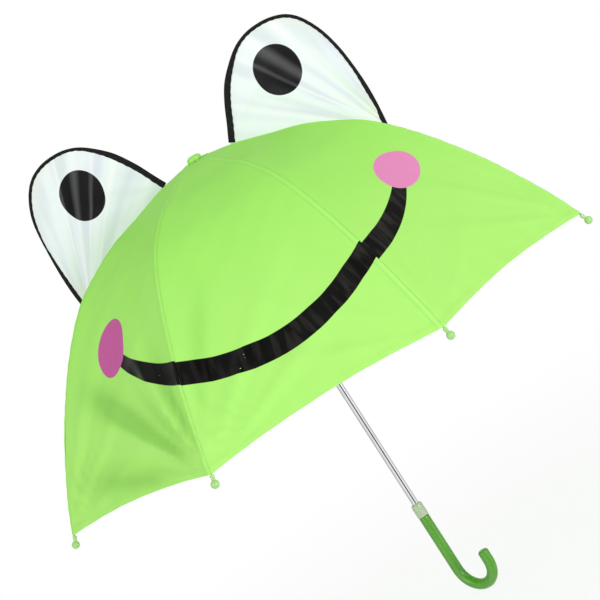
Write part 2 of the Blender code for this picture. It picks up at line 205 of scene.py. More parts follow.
# shaded copy of the eyes' white: painted shade
WHITE_PAINTED_SHADE = (0.74, 0.80, 0.82)
BLACK = (0.001, 0.001, 0.001)

FACE_TURN = math.radians(-92)            # azimuth of the line down the middle of the face
FACE_SEAMS = (-20.5, 24.5)               # the seams to both sides of the face, in degrees from its middle
# Edges of the mouth on the gore to the left, the middle gore and the one to the right. Each gore was
# printed on its own: the length down the cloth in mm as a start, a slope and a bend over the degrees
# past the gore's seam.
MOUTH_UPPER = ((348.5, -1.22, -0.040), (380.5, 0.169, -0.0651), (349.0, -0.88, -0.040))
MOUTH_LOWER = ((376.0, -1.57, -0.045), (408.0, 0.171, -0.0662), (376.0, -0.93, -0.0545))
MOUTH_END = 48.0
EYE_OUTER_FOOT = (0.231, -0.092)         # across and up on the eye's cloth, in metres
# Painted highlight lines on the eyes' satin: angle from the outer foot and half width, in degrees.
EYE_HIGHLIGHT_LINES = {"right": ((61.0, 4.2), (54.5, 1.6), (72.0, 2.2), (38.0, 3.0)),
               "left": ((53.0, 1.5), (60.5, 3.0), (68.0, 1.2), (45.0, 2.0))}
# Each cheek: its centre on the flat cloth, its half height, its half width, how far it leans and its colour.
# The left cheek's darker pink is painted shade.
CHEEKS = [((0.2291, -0.1912), 0.0285, 0.0385, 0.4, PINK),
          ((-0.2174, -0.1976), 0.0325, 0.0335, 0.08, PINK_PAINTED_SHADE)]


def distance(shader, x, y):
    squares = shader.math("MULTIPLY", x, x), shader.math("MULTIPLY", y, y)
    return shader.math("SQRT", shader.math("ADD", *squares))


def component(shader, dx, dy, x, y):
    """The part of (dx, dy) that lies along (x, y)."""
    return shader.math("ADD", shader.math("MULTIPLY", dx, x), shader.math("MULTIPLY", dy, y))


def circle_distance(shader, face, centre):
    dx = shader.math("SUBTRACT", face[0], centre[0])
    dy = shader.math("SUBTRACT", face[1], centre[1])
    return distance(shader, dx, dy)


def cheek_share(shader, face, centre, radial, across, lean):
    """Distance from a cheek's centre as a share of its radius, which differs along and across the gore."""
    length = math.hypot(*centre)
    er = (centre[0] / length, centre[1] / length)
    dx = shader.math("SUBTRACT", face[0], centre[0])
    dy = shader.math("SUBTRACT", face[1], centre[1])
    a = component(shader, dx, dy, er[0] / radial, er[1] / radial)
    b = component(shader, dx, dy, -er[1] / across, er[0] / across)
    b = shader.math("MULTIPLY_ADD", a, lean * radial / across, b)
    return distance(shader, a, b)


def mouth_edge(shader, degrees, edge):
    """Length down the cloth of one edge of the mouth, in metres."""
    left_seam, right_seam = FACE_SEAMS
    past = (shader.math("SUBTRACT", left_seam, degrees), degrees,
            shader.math("SUBTRACT", degrees, right_seam))
    found = []
    for turn, (start, slope, bend) in zip(past, edge):
        found.append(shader.math("MULTIPLY_ADD", turn, shader.math("MULTIPLY_ADD", turn, bend, slope), start))
    on_left = shader.math("LESS_THAN", degrees, left_seam)
    on_right = shader.math("GREATER_THAN", degrees, right_seam)
    middle = shader.math("SUBTRACT", shader.math("SUBTRACT", 1.0, on_left), on_right)
    total = shader.math("MULTIPLY", found[1], middle)
    total = shader.math("MULTIPLY_ADD", found[0], on_left, total)
    return shader.math("MULTIPLY", shader.math("MULTIPLY_ADD", found[2], on_right, total), MM)


def canopy_material(name, printed):
    """Plain woven polyester with stitched seams; the outer face also carries the printed frog face. Light and
    shade are partly painted in.
    """
    s = Shader(name)
    lateral, arc, hem = s.parts(s.attribute("cloth"))
    place = s.place()
    cloud = s.noise(place, 9.0, 3.0)
    streak = s.noise(s.attribute("cloth"), 60.0, 3.0, 0.6, (14.0, 0.6, 0.6))
    colour = s.mix(s.ramp(cloud, 0.3, 0.72), GREEN_DEEP, GREEN)
    colour = s.mix(s.ramp(streak, 0.35, 0.75, 0.0, 0.10), colour, (0.46, 0.93, 0.24))
    seam_row = stitches(s, -FELL_WIDTH * MM + 0.9 * MM, lateral, arc)
    hem_row = stitches(s, 6.0 * MM, hem, lateral)
    thread = s.math("MAXIMUM", seam_row, hem_row)
    # Painted light: the cloth turns paler green lower down the canopy, standing in for the brighter light
    # there.
    colour = s.mix(s.ramp(arc, 0.12, 0.42, 0.0, 0.6), colour, GREEN_PAINTED_LIGHT)
    colour = s.mix(s.math("MULTIPLY", thread, 0.12), colour, (0.28, 0.68, 0.11))
    # Painted shade: a dark line along each seam's join and a fainter one along the fell's folded edge.
    # Painted highlight: a lighter band over the fell strip.
    join_shade_line = s.ramp(s.math("ABSOLUTE", s.math("SUBTRACT", lateral, 0.35 * MM)), 0.75 * MM, 0.1 * MM)
    fold_shade_line = s.ramp(s.math("ABSOLUTE", s.math("ADD", lateral, FELL_WIDTH * MM)), 0.6 * MM, 0.1 * MM)
    fell_highlight = s.ramp(s.math("ABSOLUTE", s.math("ADD", lateral, 3.0 * MM)), 2.4 * MM, 1.0 * MM)
    colour = s.mix(s.math("MULTIPLY", fell_highlight, 0.14), colour, (0.50, 0.97, 0.27))
    shade = s.math("MAXIMUM", s.math("MULTIPLY", join_shade_line, 0.5), s.math("MULTIPLY", fold_shade_line, 0.16))
    colour = s.mix(shade, colour, (0.20, 0.60, 0.07))
    # Painted shade in the crease valleys and painted highlight on the crease ridges, from the crease depths
    # in the folds attribute.
    painted_crease_shade, ridge, _ = s.parts(s.attribute("folds"))
    colour = s.mix(s.math("MULTIPLY", painted_crease_shade, 0.5), colour, (0.17, 0.50, 0.060))
    colour = s.mix(s.math("MULTIPLY", ridge, 0.35), colour, (0.52, 0.92, 0.26))
    rough = s.ramp(cloud, 0.2, 0.8, 0.50, 0.58)
    if printed:
        face = s.parts(s.attribute("face"))
        turn = s.math("MULTIPLY", face[2], math.degrees(1))
        past_upper = s.ramp(s.math("SUBTRACT", arc, mouth_edge(s, turn, MOUTH_UPPER)), -0.0003, 0.0003)
        in_lower = s.ramp(s.math("SUBTRACT", arc, mouth_edge(s, turn, MOUTH_LOWER)), 0.0003, -0.0003)
        front = s.ramp(s.math("ABSOLUTE", turn), MOUTH_END + 0.1, MOUTH_END - 0.1)
        mouth = s.math("MULTIPLY", s.math("MULTIPLY", past_upper, in_lower), front)
        # Painted highlight on the black mouth: streaks along the cloth where folds would catch light,
        # stronger towards the right of the face.
        highlight_streaks = s.noise(s.attribute("cloth"), 120.0, 2.0, 0.5, (1.0, 0.13, 0.13))
        painted_mouth_highlight = s.math("MULTIPLY", s.ramp(highlight_streaks, 0.44, 0.62, 0.12, 1.0), s.ramp(turn, -34.0, 30.0, 0.25, 1.0))
        colour = s.mix(mouth, colour, s.mix(painted_mouth_highlight, MOUTH, MOUTH_PAINTED_HIGHLIGHT))
        rough = s.math("SUBTRACT", rough, s.math("MULTIPLY", mouth, 0.24))
        for centre, radial, across, lean, pink in CHEEKS:
            cheek = s.ramp(cheek_share(s, face, centre, radial, across, lean), 1.01, 0.99)
            colour = s.mix(cheek, colour, pink)
    else:
        colour = s.mix(0.35, colour, GREEN_DEEP)
    s.put("Base Color", colour)
    s.put("Roughness", rough)
    s.put("Specular IOR Level", 0.12)
    threads = weave(s, lateral, arc, 0.42 * MM)
    height = s.math("ADD", s.math("MULTIPLY", threads, 0.10), s.math("MULTIPLY", thread, 0.3))
    height = s.math("ADD", height, s.math("MULTIPLY", streak, 0.18))
    s.bump(height, 0.35 * MM, 0.6)
    return s.material


def plain_cloth(name):
    """The canopy's cloth without print or seams."""
    s = Shader(name)
    x, y, _ = s.parts(s.place())
    s.put("Base Color", s.mix(s.ramp(s.noise(s.place(), 60.0, 3.0), 0.3, 0.7), GREEN_DEEP, GREEN))
    s.put("Roughness", 0.55)
    s.put("Specular IOR Level", 0.12)
    s.bump(weave(s, x, y, 0.42 * MM), 0.04 * MM, 0.6)
    return s.material


def painted_highlight_lines(shader, across, up, lines):
    """1 along lines that fan out from the eye's outer foot, each an angle and a half width in degrees: the
    painted highlight lines.
    """
    run = shader.math("SUBTRACT", EYE_OUTER_FOOT[0], across)
    rise = shader.math("SUBTRACT", up, EYE_OUTER_FOOT[1])
    turn = shader.math("ARCTAN2", rise, run)
    total = 0.0
    for angle, half_width in lines:
        off = shader.math("ABSOLUTE", shader.math("SUBTRACT", turn, math.radians(angle)))
        total = shader.math("MAXIMUM", total, shader.ramp(off, math.radians(half_width), 0.0))
    return turn, total


def eye_material(name, pupil, radius, lines):
    """White satin cloth with a printed black pupil, painted shade in bands and painted highlights in lines;
    the attribute holds the flat cloth's coordinates.
    """
    s = Shader(name)
    across, up, _ = s.parts(s.attribute("cloth"))
    turn, satin = painted_highlight_lines(s, across, up, lines)
    # Painted shade and light on the eye's cloth: broad bands fanning from the outer foot run between a shaded
    # lavender-grey and the white.
    fan = s.nodes.new("ShaderNodeCombineXYZ")
    for socket, value in zip(fan.inputs, (s.math("MULTIPLY", turn, 6.0), s.math("MULTIPLY", up, 9.0), 0.0)):
        s.feed(socket, value)
    fold_light_band = s.noise(fan.outputs[0], 1.1, 1.0, 0.4)
    fold_shade_tint = s.mix(s.ramp(s.noise(s.place(), 14.0, 3.0), 0.35, 0.65), (0.74, 0.76, 0.87), WHITE_PAINTED_SHADE)
    colour = s.mix(s.ramp(fold_light_band, 0.32, 0.62), fold_shade_tint, WHITE)
    far = circle_distance(s, (across, up), (0.14, 0.0))
    colour = s.mix(s.ramp(far, 0.083, 0.1, 0.0, 0.3), colour, (0.90, 0.85, 0.68))
    spot = s.ramp(circle_distance(s, (across, up), pupil), radius + 0.0003, radius - 0.0003)
    # Painted highlights: grey streaks on the black pupil and brighter white along the same lines on the
    # cloth.
    ink_and_highlight = s.mix(s.math("MULTIPLY", satin, s.ramp(fold_light_band, 0.3, 0.6, 0.5, 1.0)), BLACK, (0.075, 0.075, 0.078))
    colour = s.mix(s.math("MULTIPLY", satin, 0.5), colour, (0.97, 0.985, 0.99))
    colour = s.mix(spot, colour, ink_and_highlight)
    s.put("Base Color", colour)
    s.put("Roughness", s.math("SUBTRACT", 0.46, s.math("MULTIPLY", spot, 0.14)))
    s.put("Specular IOR Level", 0.1)
    threads = weave(s, across, up, 0.42 * MM)
    streak = s.noise(s.attribute("cloth"), 70.0, 3.0, 0.6, (1.0, 9.0, 1.0))
    s.bump(s.math("ADD", s.math("MULTIPLY", threads, 0.1), s.math("MULTIPLY", streak, 0.3)), 0.3 * MM, 0.6)
    return s.material


def binding_material():
    """Black ribbed edge tape with two rows of stitches."""
    s = Shader("edge_tape")
    across, along, _ = s.parts(s.attribute("cloth"))
    ribs = wave(s, along, 0.8 * MM)
    row = stitches(s, 1.9 * MM, s.math("ABSOLUTE", across), along, 2.4 * MM)
    s.put("Base Color", s.mix(s.math("MULTIPLY", row, 0.5), (0.002, 0.002, 0.002), (0.02, 0.02, 0.02)))
    s.put("Roughness", s.ramp(s.noise(s.place(), 300.0), 0.3, 0.7, 0.62, 0.78))
    s.put("Specular IOR Level", 0.25)
    s.bump(s.math("ADD", s.math("MULTIPLY", ribs, 0.3), row), 0.25 * MM, 0.7)
    return s.material


def plastic_material(name, colour, rough, subsurface=0.0, transmission=0.0, scale=0.002):
    """Moulded plastic: a faint orange-peel surface, drifting colour and fine handling marks."""
    s = Shader(name)
    place = s.place()
    drift = s.noise(place, 30.0, 2.0)
    darker = tuple(c * 0.86 for c in colour)
    s.put("Base Color", s.mix(s.ramp(drift, 0.3, 0.7), darker, colour))
    marks = s.noise(place, 180.0, 4.0, 0.7, (1.0, 1.0, 0.25))
    s.put("Roughness", s.ramp(marks, 0.35, 0.75, rough, rough + 0.14))
    s.put("Coat Weight", 0.25)
    s.put("Coat Roughness", 0.12)
    if subsurface:
        s.put("Subsurface Weight", subsurface)
        s.put("Subsurface Radius", (scale, scale, scale * 0.7))
        s.put("Subsurface Scale", 1.0)
    if transmission:
        s.put("Transmission Weight", transmission)
    s.bump(s.noise(place, 900.0, 2.0), 0.05 * MM, 0.35)
    return s.material


def metal_material(name, colour, rough, brushed=(1.0, 1.0, 0.04), drift=0.08):
    """Plated steel, with drawing lines along the part and uneven polish."""
    s = Shader(name)
    place = s.place()
    lines = s.noise(place, 2200.0, 2.0, 0.6, brushed)
    spots = s.noise(place, 45.0, 4.0, 0.6)
    s.put("Metallic", 1.0)
    s.put("Base Color", s.mix(s.ramp(spots, 0.3, 0.75), tuple(c * 0.85 for c in colour), colour))
    s.put("Roughness", s.ramp(s.math("ADD", s.math("MULTIPLY", lines, 0.5), s.math("MULTIPLY", spots, 0.5)),
                              0.3, 0.7, rough, rough + drift))
    s.bump(lines, 0.02 * MM, 0.3)
    return s.material


OUTER_CLOTH = canopy_material("canopy_outer_face", True)
INNER_CLOTH = canopy_material("canopy_inner_face", False)
TAPE = binding_material()
ROSETTE = plain_cloth("rosette_cloth")
CHROME = metal_material("shaft_chrome", (0.80, 0.81, 0.83), 0.08, (1.0, 1.0, 0.02), 0.06)
STEEL = metal_material("rib_steel", (0.50, 0.51, 0.53), 0.26, (1.0, 1.0, 0.2), 0.12)
SPRING = metal_material("wire_steel", (0.60, 0.61, 0.63), 0.22, (1.0, 1.0, 0.2), 0.12)
HANDLE_GREEN = plastic_material("handle_plastic", (0.105, 0.37, 0.026), 0.2, 0.15, 0.0, 0.003)
CAP_GREEN = plastic_material("cap_plastic", (0.33, 0.80, 0.115), 0.28, 0.15, 0.0, 0.002)
TIP_GREEN = plastic_material("bead_plastic", (0.42, 0.76, 0.24), 0.22, 0.25, 0.0, 0.002)
COLLAR = plastic_material("collar_plastic", (0.60, 0.72, 0.50), 0.24, 0.5, 0.1, 0.004)
RUNNER = plastic_material("runner_plastic", (0.02, 0.02, 0.022), 0.35)


# ---- the canopy's surface ------------------------------------------------------------------------
def seam_table():
    """The seam over a rib as close points through its driving points: arc length, radius and depth."""
    points = np.array(SEAM, float)
    points = np.vstack([points[1] * (-1, 1), points, points[-1] * 2 - points[-2]])
    curve = []
    for p0, p1, p2, p3 in zip(points, points[1:], points[2:], points[3:]):
        run = np.linalg.norm(p2 - p1)
        t0 = (p2 - p0) * 0.5 * min(1.0, run / np.linalg.norm(p1 - p0))
        t1 = (p3 - p1) * 0.5 * min(1.0, run / np.linalg.norm(p3 - p2))
        t = np.linspace(0, 1, 24, endpoint=False)[:, None]
        curve.append(p1 * (2 * t**3 - 3 * t**2 + 1) + t0 * (t**3 - 2 * t**2 + t) + p2 * (3 * t**2 - 2 * t**3)
                     + t1 * (t**3 - t**2))
    curve = np.vstack([*curve, points[-2]])
    steps = np.linalg.norm(np.diff(curve, axis=0), axis=1)
    return np.concatenate([[0], np.cumsum(steps)]), curve[:, 0], curve[:, 1]


ARC, RADIUS, DEPTH = seam_table()
LENGTH = ARC[-1]


def seam(arc):
    """Radius and depth at a length from the apex; past the table it runs straight on."""
    beyond = np.maximum(arc - LENGTH, 0)
    end_run = np.array([RADIUS[-1] - RADIUS[-8], DEPTH[-1] - DEPTH[-8]]) / (ARC[-1] - ARC[-8])
    return (np.interp(arc, ARC, RADIUS) + beyond * end_run[0],
            np.interp(arc, ARC, DEPTH) + beyond * end_run[1])


def arc_at(radius):
    return float(np.interp(radius, RADIUS, ARC))


def seam_point(arc, drop=0.0):
    """Radius and height in metres of a point under (or over) the seam."""
    r, d = seam(arc)
    r2, d2 = seam(arc + 0.5)
    r1, d1 = seam(arc - 0.5)
    run = np.array([r2 - r1, d1 - d2]) / np.hypot(r2 - r1, d2 - d1)
    return Vector(((r + run[1] * drop) * MM, 0.0, APEX_Z - (d + run[0] * drop) * MM))


def smooth_step(value, low, high):
    t = np.clip((value - low) / (high - low), 0, 1)
    return t * t * (3 - 2 * t)


KINK = arc_at(KINK_R)
# Height of the folds at the two tips of each panel, in mm: most on the panel left of the face.
FOLDS = {p: (0.9, 0.9) for p in range(RIBS)}
FOLDS[4] = (1.2, 3.6)
FOLDS[5] = (1.3, 0.9)
FOLDS[6] = (0.8, 0.6)


def tip_folds(lateral, back, strength, seed):
    """Height of the tension folds that fan out from a tip; lateral and back are distances from it, in mm."""
    far = np.hypot(lateral, back)
    turn = np.arctan2(lateral, back)
    waves = np.sin(turn * 13.0 + seed) + 0.4 * np.sin(turn * 27.0 + seed * 2.3 + far * 0.012)
    grow = smooth_step(far, 4, 90) * (1 - smooth_step(far, 110, 290))
    inside = smooth_step(turn, 0.03, 0.2) * (1 - 0.6 * smooth_step(turn, 1.15, 1.45))
    return strength * waves * grow * inside


# Single creases that run up from a tip: angle from the seam in degrees, half width in degrees, depth in mm
# (negative for a ridge) and how far from the tip they start and end. RIGHT_CREASES start at the tip at the
# right-hand end of a panel seen from outside, LEFT_CREASES at the other.
RIGHT_CREASES = {4: [(50, 5.0, 3.4, 20, 260), (60, 4.0, -1.4, 30, 210), (15, 5.0, 2.0, 15, 190),
                     (25, 4.0, -1.2, 25, 190), (35, 4.5, 1.4, 30, 170), (78, 5.0, 1.8, 50, 260)],
                 6: [(14, 4.0, 0.6, 15, 120)]}
LEFT_CREASES = {5: [(13, 4.0, 1.3, 30, 240), (30, 4.0, 0.5, 30, 160)]}
SAG = 3.6                                # how far a panel hangs in between its ribs, in mm
CREASE_LEAST = 7.0                       # no crease is narrower than this half width in mm


def creases(lines, lateral, back):
    """Depth of the creases, in mm."""
    far = np.hypot(lateral, back)
    turn = np.arctan2(lateral, back)
    out = np.zeros_like(far)
    for angle, half_width, depth, start, end in lines:
        off = (turn - math.radians(angle)) * far
        width = np.maximum(math.radians(half_width) * far, CREASE_LEAST)
        along = smooth_step(far, start, start + 60) * (1 - smooth_step(far, end - 110, end))
        out = out + depth * np.exp(-(off / width) ** 2) * along
    return out


def panel_creases(panel, share, arc, width):
    back = LENGTH - arc
    return (creases(LEFT_CREASES.get(panel, ()), share * width, back)
            + creases(RIGHT_CREASES.get(panel, ()), (1 - share) * width, back))


def relief(panel, share, arc, half_chord):
    """How far the cloth stands out of the flat panel; share runs across the panel from rib to rib."""
    width = 2 * half_chord
    near = np.minimum(share, 1 - share) * width
    taut_hem = 1 - 0.35 * smooth_step(arc, 350, LENGTH)
    out = -SAG * np.sin(np.pi * share) * smooth_step(arc, 15, 200) * taut_hem
    first, second = FOLDS[panel]
    back = LENGTH - arc
    out = out + tip_folds(share * width, back, first, 0.7 + panel)
    out = out + tip_folds((1 - share) * width, back, second, 2.1 + 1.7 * panel)
    out = out - panel_creases(panel, share, arc, width)
    loose = smooth_step(near, 2, 26)
    slow = np.sin(arc * 0.021 + 2.1 * panel + 4 * share) * np.sin(share * 8.5 + 0.6 * panel + arc * 0.006)
    out = out + 0.9 * slow * loose * smooth_step(arc, 40, 160)
    diagonal = np.sin((share * width * 0.8 + arc * 0.55) * 0.19 + panel) * np.exp(-((arc - 250) / 90) ** 2)
    out = out + 0.22 * diagonal * loose
    gather = np.sin(share * 2 * np.pi * 3 + panel * 1.3) * np.exp(-((arc - 16) / 14) ** 2)
    out = out + 0.5 * gather * np.clip(near / 3, 0, 1)
    pucker = np.sin(arc * 0.34 + 1.9 * np.sin(arc * 0.05 + panel)) * np.exp(-near / 7.0)
    pucker = pucker * smooth_step(near, 0.5, 3)
    out = out + 0.28 * pucker * smooth_step(arc, 60, 140)
    hem_wave = np.sin(share * width * 0.16 + panel) * smooth_step(arc, LENGTH - 60, LENGTH - 15)
    return out + 0.45 * hem_wave * loose


def hem_end(part):
    return LENGTH - HEM_DIP * (1 - (1 - np.abs(np.clip(part, -1, 1))) ** 1.9)


def cloth_at(rib, part, arc, side):
    """Points of the cloth in mm, in the umbrella's frame; part runs from -1 to 1 across a rib's halves."""
    r, depth = seam(arc)
    half_chord = r * math.sin(HALF)
    x = r + (r * math.cos(HALF) ** 2 - r) * np.abs(part)
    y = r * math.cos(HALF) * math.sin(HALF) * part
    r2, depth2 = seam(arc + 1.0)
    slope = np.arctan2(depth2 - depth, r2 - r)
    panel = (rib if side > 0 else rib - 1) % RIBS
    share = np.where(side > 0, part / 2, 1 + part / 2)
    out = relief(panel, share, arc, half_chord)
    lateral = np.abs(part) * half_chord
    round_over = 3.2 * np.minimum(1, half_chord / 20)
    ridge = math.tan(HALF) * np.sin(slope)
    out = out - ridge * (np.hypot(lateral, round_over) - lateral) - 0.25
    signed = part * half_chord
    fell = smooth_step(signed, -FELL_WIDTH, -FELL_WIDTH + 0.5) * (1 - smooth_step(signed, -0.5, 0.1))
    swell = np.exp(-((signed + FELL_WIDTH / 2) / 2.2) ** 2)
    groove = np.exp(-((signed - 0.4) / 0.7) ** 2)
    out = out + (0.36 * fell + 0.45 * swell - 0.3 * groove) * np.minimum(1, half_chord / 20)
    hem = hem_end(part) - arc
    out = out + 0.22 * (1 - smooth_step(hem, 7.4, 8.2)) - 0.3 * (1 - smooth_step(hem, 0.0, 1.2))
    facing = np.sign(part + side * 1e-9) * HALF * smooth_step(np.abs(part), 0, 0.3)
    x = x + out * np.sin(slope) * np.cos(facing)
    y = y + out * np.sin(slope) * np.sin(facing)
    z = -depth + out * np.cos(slope)
    turn = FIRST_RIB + rib * 2 * HALF
    ct, st = math.cos(turn), math.sin(turn)
    return np.stack([x * ct - y * st, x * st + y * ct, z], axis=-1)


def cloth_normal(rib, part, arc, side):
    small_part = 0.6 / np.maximum(seam(arc)[0] * math.sin(HALF), 4.0)
    along = cloth_at(rib, part, arc + 0.6, side) - cloth_at(rib, part, arc - 0.6, side)
    low, high = part - small_part, part + small_part
    low_side = np.where(part * side <= small_part * 0.5, -1, side) if side > 0 else -1
    high_side = np.where(part * side <= small_part * 0.5, 1, side) if side < 0 else 1
    across = across_point(rib, high, arc, high_side) - across_point(rib, low, arc, low_side)
    normal = np.cross(along, across)
    return normal / np.linalg.norm(normal, axis=-1, keepdims=True)


def across_point(rib, part, arc, side):
    """cloth_at where the side may differ from point to point."""
    plus, minus = cloth_at(rib, part, arc, 1), cloth_at(rib, part, arc, -1)
    return np.where((np.broadcast_to(side, part.shape) > 0)[..., None], plus, minus)


def columns(half_chord, side, count=13):
    """Parts across a half gore: close over the fell seam, then even to the middle of the panel."""
    seam_mm = np.array([0, 0.45, 1.1, 2.0, 3.2, 4.6, 5.7, 6.2, 6.7, 8.0])
    close = seam_mm[None, :] * half_chord[:, None] / (half_chord[:, None] + 5.0)
    rest = np.linspace(0, 1, count + 1)[1:]
    even = close[:, -1:] + (half_chord[:, None] - close[:, -1:]) * rest[None, :]
    return side * np.hstack([close, even]) / half_chord[:, None]


def grid_shell(name, outer, normals, thickness, attributes, materials):
    """A closed thin shell on a grid of points in mm: face, back and rim, with smooth given normals."""
    rows, cols = outer.shape[:2]
    count = rows * cols
    back = outer - normals * thickness
    verts = np.vstack([outer.reshape(-1, 3), back.reshape(-1, 3)]) * MM + np.array([0, 0, APEX_Z])
    index = np.arange(count).reshape(rows, cols)
    quads = np.stack([index[:-1, :-1], index[1:, :-1], index[1:, 1:], index[:-1, 1:]], axis=-1).reshape(-1, 4)
    middle = outer[rows // 2, cols // 2]
    edge_a = outer[rows // 2 + 1, cols // 2] - middle
    edge_b = outer[rows // 2, cols // 2 + 1] - middle
    if np.dot(np.cross(edge_a, edge_b), normals[rows // 2, cols // 2]) < 0:
        quads = quads[:, ::-1]
    border = np.concatenate([index[0, :], index[1:, -1], index[-1, -2::-1], index[-2:0:-1, 0]])
    rim = np.stack([border, np.roll(border, -1), np.roll(border, -1) + count, border + count], axis=-1)
    if (quads[0, 0] == border[0]) == (quads[0, 3] == border[1]):
        rim = rim[:, ::-1]
    mesh = bpy.data.meshes.new(name)
    mesh.from_pydata(verts.tolist(), [], np.vstack([quads, quads[:, ::-1] + count, rim]).tolist())
    side_of = np.repeat([0, 1, 1], [len(quads), len(quads), len(rim)])
    for material in materials:
        mesh.materials.append(material)
    mesh.polygons.foreach_set("material_index", side_of.astype(np.int32))
    for key, values in attributes.items():
        layer = mesh.attributes.new(key, "FLOAT_VECTOR", "POINT")
        flat = np.vstack([values.reshape(-1, 3)] * 2).astype(np.float32)
        layer.data.foreach_set("vector", flat.ravel())
    mesh.shade_smooth()
    facing = normals.reshape(-1, 3)
    mesh.normals_split_custom_set_from_vertices(np.vstack([facing, -facing]).tolist())
    obj = bpy.data.objects.new(name, mesh)
    bpy.context.scene.collection.objects.link(obj)
    return obj


# The lengths that a gore's cloth is made in: name, where it starts and how wide it stays when it is folded,
# so that the cloth of neighbouring ribs still meets.
SEGMENTS = [("apex", CLOTH_START, 1.0), ("top", 35.0, 0.58), ("crown", 75.0, 0.33),
            ("upper", 125.0, 0.23), ("waist", 172.0, 0.15), ("lower", KINK, 0.092),
            ("middle", 300.0, 0.078), ("hem", 418.0, 0.060)]
INNER_SEGMENTS = 5                       # the first ones ride on the inner rib
ROW_STEP = 4.0


def rib_turn(rib):
    return Matrix.Rotation(FIRST_RIB + rib * 2 * HALF, 3, "Z")


def half_gore(rib, side, number):
    name, start, keep = SEGMENTS[number]
    last = number == len(SEGMENTS) - 1
    stop = LENGTH if last else SEGMENTS[number + 1][1]
    rows = max(4, round((stop - start) / ROW_STEP))
    along = np.linspace(0, 1, rows + 1)
    guide = start + (stop - start) * along
    part = columns(np.maximum(seam(guide)[0], 1) * math.sin(HALF), side)
    end = hem_end(part) if last else stop
    arc = start + (end - start) * along[:, None] + np.zeros_like(part)
    points = cloth_at(rib, part, arc, side)
    normals = cloth_normal(rib, part, arc, side)
    if normals[..., 2].mean() < 0:
        normals = -normals
    middle = (FIRST_RIB + rib * 2 * HALF - FACE_TURN + math.pi) % (2 * math.pi) - math.pi
    turn = FIRST_RIB + rib * 2 * HALF
    local = np.arctan2(points[..., 1] * math.cos(turn) - points[..., 0] * math.sin(turn),
                       points[..., 0] * math.cos(turn) + points[..., 1] * math.sin(turn))
    azimuth = turn + local
    half_chord = seam(arc)[0] * math.sin(HALF)
    cloth = np.stack([part * half_chord, arc, hem_end(part) - arc], axis=-1) * MM
    face = np.stack([arc * np.cos(azimuth) * MM, arc * np.sin(azimuth) * MM, middle + local], axis=-1)
    label = "right" if side > 0 else "left"
    panel = rib if side > 0 else (rib - 1) % RIBS
    share = np.abs(part) / 2 if side > 0 else 1 - np.abs(part) / 2
    # Crease depth split into valley and ridge shares, which the cloth material turns into painted shade and
    # painted highlight.
    crease = panel_creases(panel, share, arc, 2 * half_chord)
    folds = np.stack([np.clip(crease / 2, 0, 1), np.clip(-crease / 2, 0, 1), 0 * crease], axis=-1)
    obj = grid_shell(f"cloth_{name}_{rib + 1}_{label}", points, normals, CLOTH_T,
                     {"cloth": cloth, "face": face, "folds": folds}, [OUTER_CLOTH, INNER_CLOTH])
    inner = number < INNER_SEGMENTS
    rib_name = rib + 1
    fold = FOLD if rib == 0 else f"rib_fold_{rib_name}"
    body, joint = (f"rib_arm_{rib_name}", fold) if inner else (f"rib_end_{rib_name}", f"rib_flex_{rib_name}")
    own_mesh(obj)
    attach(obj, body)
    widths = half_chord[:, 0] * MM
    area = float(np.sum((widths[:-1] + widths[1:]) / 2 * np.diff(arc[:, 0]) * MM))
    if last:
        area -= float(HEM_DIP * MM * widths[-1] * 0.62)
    if number in (0, INNER_SEGMENTS):
        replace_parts(obj, f"canopy_inner_{rib_name}" if inner else f"canopy_outer_{rib_name}")
    return obj


def make_canopy():
    for rib in range(RIBS):
        for side in (1, -1):
            for number in range(len(SEGMENTS)):
                half_gore(rib, side, number)


# ---- eyes ----------------------------------------------------------------------------------------
# Outline of an eye in its own plane, as radius and depth in mm, from its inner foot over the top to its
# outer foot.
EYE_TOP = [(47, 4), (57, -14), (69, -36), (83, -57), (101, -74), (118, -86), (136, -93), (155, -95.5),
           (175, -94),
           (194, -87), (209, -73), (222, -50), (229, -24), (232, 5), (233, 32), (232, 58), (229, 87)]
EYE_FOOT = (49.0, 228.0)
PUPIL = (0.148, 0.038)
PUPIL_R = 0.0307
EYES = {"right": 0, "left": 3}           # the rib that carries each eye


def smooth_path(points, count):
    """Even points along a smooth curve through the given ones."""
    points = np.array(points, float)
    ends = np.vstack([2 * points[0] - points[1], points, 2 * points[-1] - points[-2]])
    curve = []
    for p0, p1, p2, p3 in zip(ends, ends[1:], ends[2:], ends[3:]):
        t = np.linspace(0, 1, 12, endpoint=False)[:, None]
        curve.append(0.5 * (2 * p1 + (p2 - p0) * t + (2 * p0 - 5 * p1 + 4 * p2 - p3) * t**2
                            + (3 * p1 - p0 - 3 * p2 + p3) * t**3))
    curve = np.vstack([*curve, points[-1]])
    run = np.concatenate([[0], np.cumsum(np.linalg.norm(np.diff(curve, axis=0), axis=1))])
    even = np.linspace(0, run[-1], count)
    return np.stack([np.interp(even, run, curve[:, k]) for k in range(curve.shape[1])], axis=-1)


